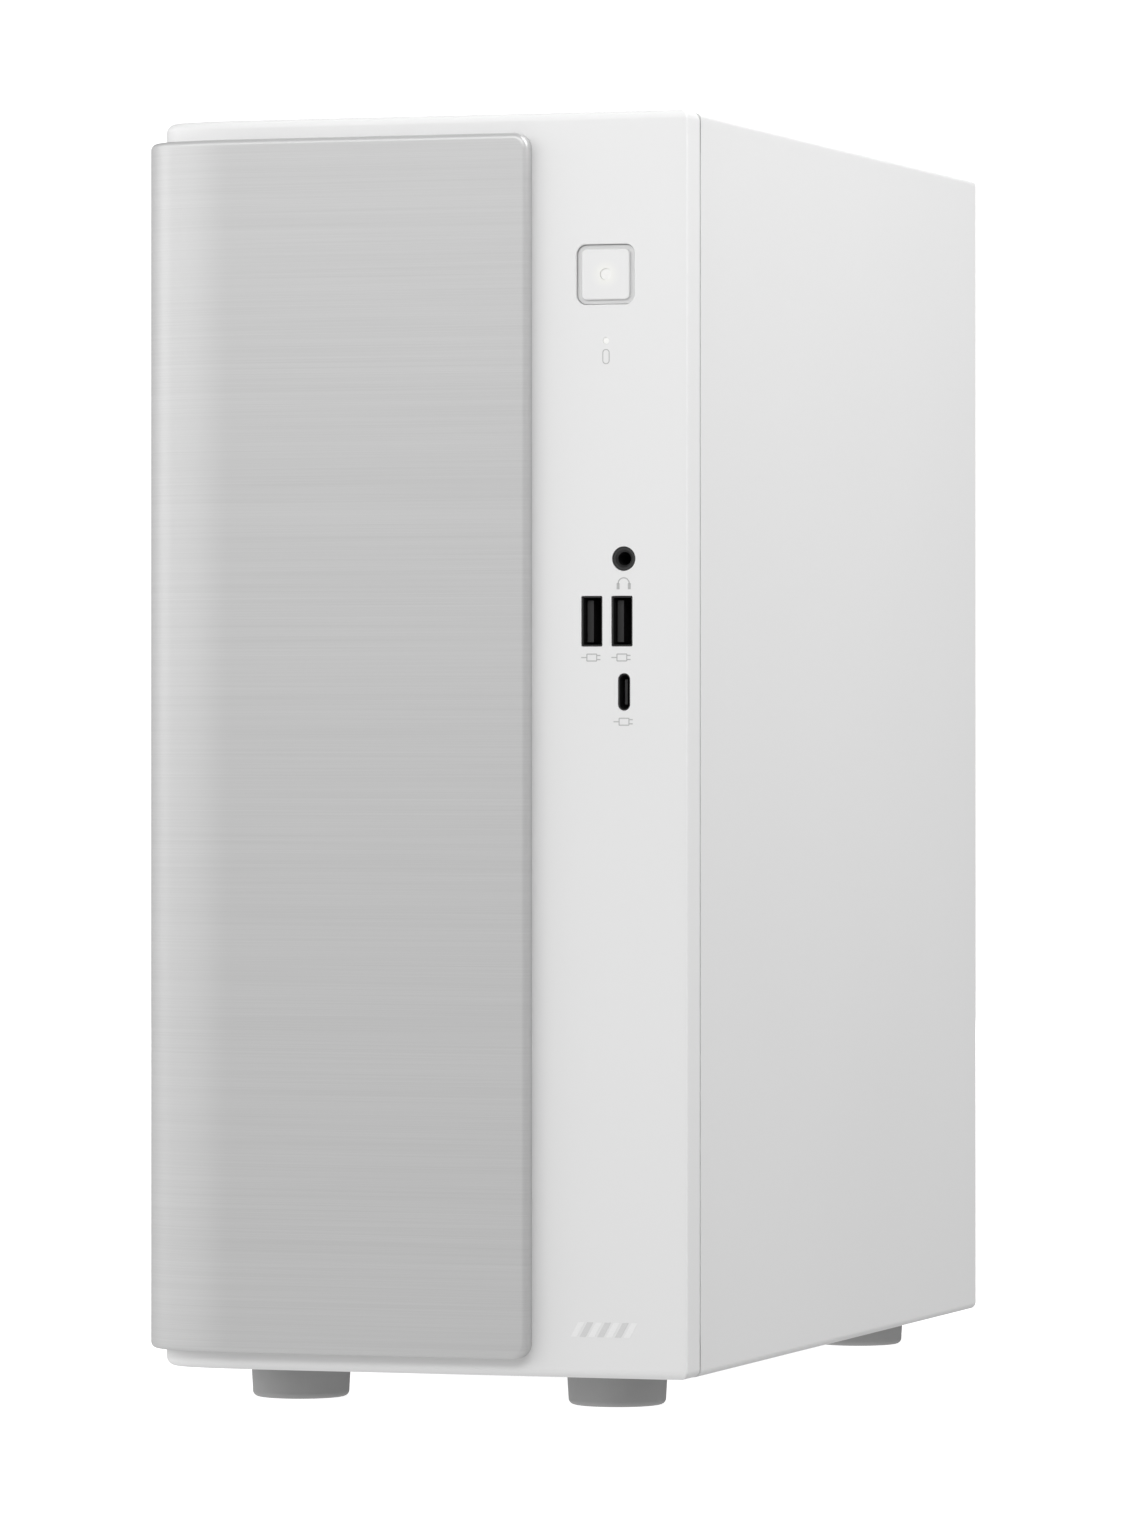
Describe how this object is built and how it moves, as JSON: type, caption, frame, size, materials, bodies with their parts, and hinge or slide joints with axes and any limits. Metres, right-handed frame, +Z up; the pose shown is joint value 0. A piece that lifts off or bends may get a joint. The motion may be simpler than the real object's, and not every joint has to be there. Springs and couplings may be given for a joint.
{
  "type": "desktop computer tower",
  "caption": "Slim white desktop computer tower with a raised brushed silver front plate, power button and front sockets, on round rubber feet.",
  "frame": {"origin": "middle of the overall footprint, on the surface that the feet stand on", "axes": "+X to the right seen from the front, +Y to the rear (the front faces -Y), +Z up"},
  "size_m": [0.1544, 0.3036, 0.344],
  "materials": {
    "white_plastic": "fine satin texture",
    "brushed_silver": "silver, fine brushed lines",
    "clear_light": "translucent light guide",
    "green_board": "circuit board with parts",
    "dark_board": "black circuit board",
    "black_plastic": "moulded",
    "grey_plastic": "moulded",
    "socket_metal": "dark shell with black contact tongue",
    "white_steel": "smooth satin paint",
    "bare_steel": "galvanised sheet",
    "bright_steel": "nickel plated",
    "screw_steel": "plated",
    "brass_parts": "turned",
    "plain_aluminium": "satin",
    "grey_rubber": "matt",
    "black_cable": "sleeved",
    "red_cable": "flat ribbon, drawn round"
  },
  "bodies": {
    "chassis": {"front_bezel": "white_plastic", "front_plate": "brushed_silver", "power_switch": "green_board", "drive_light_guide": "clear_light", "front_io_board": "green_board", "headset_jack": "black_plastic", "usb_a_port_left": "socket_metal", "usb_a_port_right": "socket_metal", "usb_c_port": "socket_metal", "chassis_top": "white_steel", "chassis_floor": "bare_steel", "chassis_front": "bare_steel", "chassis_rear": "bare_steel", "motherboard_tray": "bare_steel", "right_side_panel": "white_steel", "foot_front_left": "grey_rubber", "foot_front_right": "grey_rubber", "foot_rear_left": "grey_rubber", "foot_rear_right": "grey_rubber", "slot_covers": "bare_steel", "retainer_hinge": "screw_steel", "io_shield": "bright_steel", "rear_sockets": "bright_steel", "rear_audio_jacks": "black_plastic", "motherboard": "dark_board", "standoffs": "brass_parts", "cpu_socket": "bright_steel", "processor": "bright_steel", "cpu_heatsink": "plain_aluminium", "cpu_fan_frame": "black_plastic", "rear_fan_frame": "black_plastic", "memory_sockets": "black_plastic", "memory_modules": "green_board", "solid_state_drive": "dark_board", "wireless_card": "dark_board", "chipset_heatsink": "plain_aluminium", "vrm_heatsink": "plain_aluminium", "expansion_sockets": "black_plastic", "coin_cell": "bright_steel", "board_connectors": "black_plastic", "psu_case": "bare_steel", "psu_fan_frame": "black_plastic", "psu_board": "green_board", "ac_inlet": "black_plastic", "hard_drive": "plain_aluminium", "drive_cage": "bare_steel", "case_screws": "screw_steel", "power_cables": "black_cable", "data_cables": "red_cable"},
    "power_button": {"power_button": "white_plastic", "power_button_lens": "clear_light"},
    "left_side_panel": {"left_side_panel": "white_steel"},
    "thumbscrew_lower": {"thumbscrew_lower": "screw_steel"},
    "thumbscrew_upper": {"thumbscrew_upper": "screw_steel"},
    "slot_retainer": {"slot_retainer": "bare_steel"},
    "cpu_fan_rotor": {"cpu_fan_rotor": "black_plastic"},
    "rear_fan_rotor": {"rear_fan_rotor": "black_plastic"},
    "psu_fan_rotor": {"psu_fan_rotor": "black_plastic"},
    "memory_latch_front": {"memory_latch_front": "grey_plastic"},
    "memory_latch_rear": {"memory_latch_rear": "grey_plastic"}
  },
  "joints": [
    {"name": "power_button_press", "type": "slide", "parent": "chassis", "child": "power_button", "axis": [0, 1, 0], "range_m": [0, 0.0012], "stiffness_N_per_m": 400, "springref_m": -0.001},
    {"name": "left_panel_slide", "type": "slide", "parent": "chassis", "child": "left_side_panel", "axis": [0, 1, 0], "range_m": [0, 0.31]},
    {"name": "thumbscrew_lower_turn", "type": "hinge", "parent": "left_side_panel", "child": "thumbscrew_lower", "pos_m": [-0.06703, 0.1436, 0.06], "axis": [0, 1, 0], "continuous": true},
    {"name": "thumbscrew_upper_turn", "type": "hinge", "parent": "left_side_panel", "child": "thumbscrew_upper", "pos_m": [-0.06703, 0.1436, 0.3], "axis": [0, 1, 0], "continuous": true},
    {"name": "slot_retainer_swing", "type": "hinge", "parent": "chassis", "child": "slot_retainer", "pos_m": [-0.05783, 0.1474, 0.0155], "axis": [-1, 0, 0], "range_deg": [0, 90]},
    {"name": "cpu_fan_spin", "type": "hinge", "parent": "chassis", "child": "cpu_fan_rotor", "pos_m": [0.00967, 0.0664, 0.2], "axis": [1, 0, 0], "continuous": true},
    {"name": "rear_fan_spin", "type": "hinge", "parent": "chassis", "child": "rear_fan_rotor", "pos_m": [-0.02083, 0.1284, 0.19], "axis": [0, 1, 0], "continuous": true},
    {"name": "psu_fan_spin", "type": "hinge", "parent": "chassis", "child": "psu_fan_rotor", "pos_m": [0.00167, 0.0884, 0.283], "axis": [0, 0, 1], "continuous": true},
    {"name": "memory_latch_front_swing", "type": "hinge", "parent": "chassis", "child": "memory_latch_front", "pos_m": [0.05617, -0.0436, 0.253], "axis": [0, 1, 0], "range_deg": [0, 26]},
    {"name": "memory_latch_rear_swing", "type": "hinge", "parent": "chassis", "child": "memory_latch_rear", "pos_m": [0.05617, -0.0336, 0.253], "axis": [0, 1, 0], "range_deg": [0, 26]}
  ]
}
